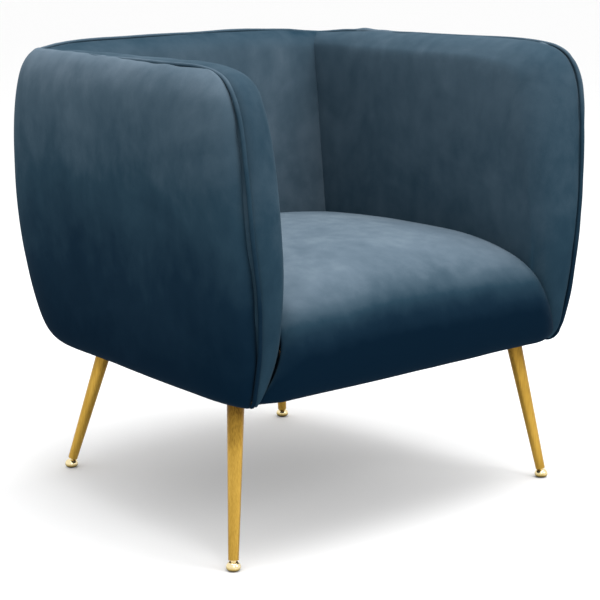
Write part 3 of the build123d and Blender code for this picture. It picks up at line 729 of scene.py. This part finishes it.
# seat: painted highlight on the top and painted shade down the front roll
seat_velvet = velvet_finish("seat_velvet", -0.05, 0.87, 0.0)
bm = grid(seat_rows())
face_towards(bm, (0, 0, 0.42), (0, 0, 1))
unevenness(bm, 9.3, 0.0012)
piece = sewn_cover("seat_top", bm)
piece.data.materials.append(seat_velvet.material)
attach(piece, "chair")
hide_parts("seat_cover", "seat_foam")

# ==== Piping ================================================================
# A cord in a strip of the same velvet, sewn between the outside and inside
# covers: up one arm's front, round the rim and down the other.
PIPING_RADIUS = 0.0031
PIPING_SIDES = 12


def piping_route():
    route = []
    for y, z, out_y, out_z, _, _ in ARM_CREST:
        edge = edge_across(y, z)
        route.append(Vector((edge + 0.0002, y - 0.0025 * out_y, z - 0.0025 * out_z)))
    route[0] = Vector((0.2975, -0.2640, 0.2425))
    route.insert(1, Vector((0.3025, -0.2820, 0.2385)))
    route.insert(2, Vector((0.3068, -0.2950, 0.2455)))
    for angle in (8, 26, 45, 64, 82):
        x, y = rim_point(angle)
        route.append(Vector((x, y, 0.6953 + 0.0015 * angle / 90 - corner_dip(x, y))))
    for x in (0.15, 0.075):
        route.append(Vector((x, RIM_BACK + BACK_BOW * (1 - x / 0.3), RIM_TOP)))
    route.append(Vector((0, RIM_BACK + BACK_BOW, RIM_TOP)))
    mirrored = [Vector((-p.x, p.y, p.z)) for p in reversed(route[:-1])]
    return route + mirrored


# piping: painted light on faces looking up and higher up, painted shade lower down
piping_velvet = velvet_finish("piping_velvet", 0.30, 0.20, 0.40)
line = through(piping_route(), steps(620))
for index, point in enumerate(line):
    sway = noise.noise(Vector((index * 0.071, 2.0, 0))) * 0.0011
    sway += noise.noise(Vector((index * 0.21, 7.0, 0))) * 0.0004
    lift = noise.noise(Vector((index * 0.061, 9.0, 4.0))) * 0.0010
    point += Vector((sway, sway * 0.4, lift))

bm = bmesh.new()
rings = []
previous = None
for index, point in enumerate(line):
    ahead = (line[min(index + 1, len(line) - 1)] - line[max(index - 1, 0)]).normalized()
    reference = previous or Vector((1, 0, 0)).cross(ahead).normalized()
    first = (reference - ahead * reference.dot(ahead)).normalized()
    previous = first
    second = ahead.cross(first)
    radius = PIPING_RADIUS * (1 + 0.05 * noise.noise(Vector((index * 0.33, 0, 5))))
    turn = bmesh.ops.create_circle(bm, segments=PIPING_SIDES, radius=radius)["verts"]
    for k, vert in enumerate(turn):
        angle = 2 * math.pi * k / PIPING_SIDES
        vert.co = point + (first * math.cos(angle) + second * math.sin(angle)) * radius
    rings.append(turn)
for low, high in zip(rings, rings[1:]):
    for k in range(PIPING_SIDES):
        following = (k + 1) % PIPING_SIDES
        bm.faces.new((low[k], low[following], high[following], high[k]))
bmesh.ops.contextual_create(bm, geom=rings[0])
bmesh.ops.contextual_create(bm, geom=rings[-1])
bmesh.ops.recalc_face_normals(bm, faces=bm.faces)
piece = new_object("piping_cord", bm)
piece.data.materials.append(piping_velvet.material)
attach(piece, "chair")
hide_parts("piping")

# ==== Studio ================================================================
# Pale floor, soft lights from above and in front, and the camera, which looks
# at the chair from the sitter's right and a little from above.
FLOOR_REACH = 60.0
CHAIR_MIDDLE = (0, 0, 0.4)
EYE = Vector((-1.802, -2.124, 0.920))
AIM = Vector((0.0306, 0.0, 0.2959))

bm = bmesh.new()
bmesh.ops.create_grid(bm, x_segments=1, y_segments=1, size=FLOOR_REACH)
floor = new_object("floor", bm, smooth=False)
paper = Finish("floor_paper", Roughness=0.9)
fibres = paper.node("ShaderNodeTexNoise", Scale=3.0)
paper.feed("Base Color", paper.ramp([(0.3, (0.92, 0.92, 0.92, 1)), (0.7, (0.95, 0.95, 0.95, 1))], fibres))
floor.data.materials.append(paper.material)


def softbox(name, place, size, power):
    lamp = bpy.data.lights.new(name, "AREA")
    lamp.shape = "RECTANGLE"
    lamp.size, lamp.size_y = size
    lamp.energy = power
    holder = bpy.data.objects.new(name, lamp)
    holder.location = place
    holder.rotation_euler = (Vector(CHAIR_MIDDLE) - Vector(place)).to_track_quat("-Z", "Y").to_euler()
    bpy.context.scene.collection.objects.link(holder)


softbox("overhead", (0.1, -0.3, 2.5), (2.2, 1.8), 58)
softbox("front_left", (-1.6, -2.6, 1.9), (1.4, 1.4), 12)
softbox("front_right", (1.2, -2.8, 2.0), (1.4, 1.4), 22)

world = bpy.data.worlds.new("studio")
world.use_nodes = True
sky = world.node_tree.nodes["Background"]
sky.inputs["Color"].default_value = (1.0, 1.0, 1.0, 1)
sky.inputs["Strength"].default_value = 1.05
bpy.context.scene.world = world
bpy.context.scene.view_settings.view_transform = "Standard"

lens = bpy.data.cameras.new("camera")
lens.lens = 108.1
lens.sensor_width = 36.0
lens.shift_y = -0.0045
camera = bpy.data.objects.new("camera", lens)
camera.location = EYE
camera.rotation_euler = (AIM - EYE).to_track_quat("-Z", "Y").to_euler()
bpy.context.scene.collection.objects.link(camera)
bpy.context.scene.camera = camera

bpy.context.view_layer.update()
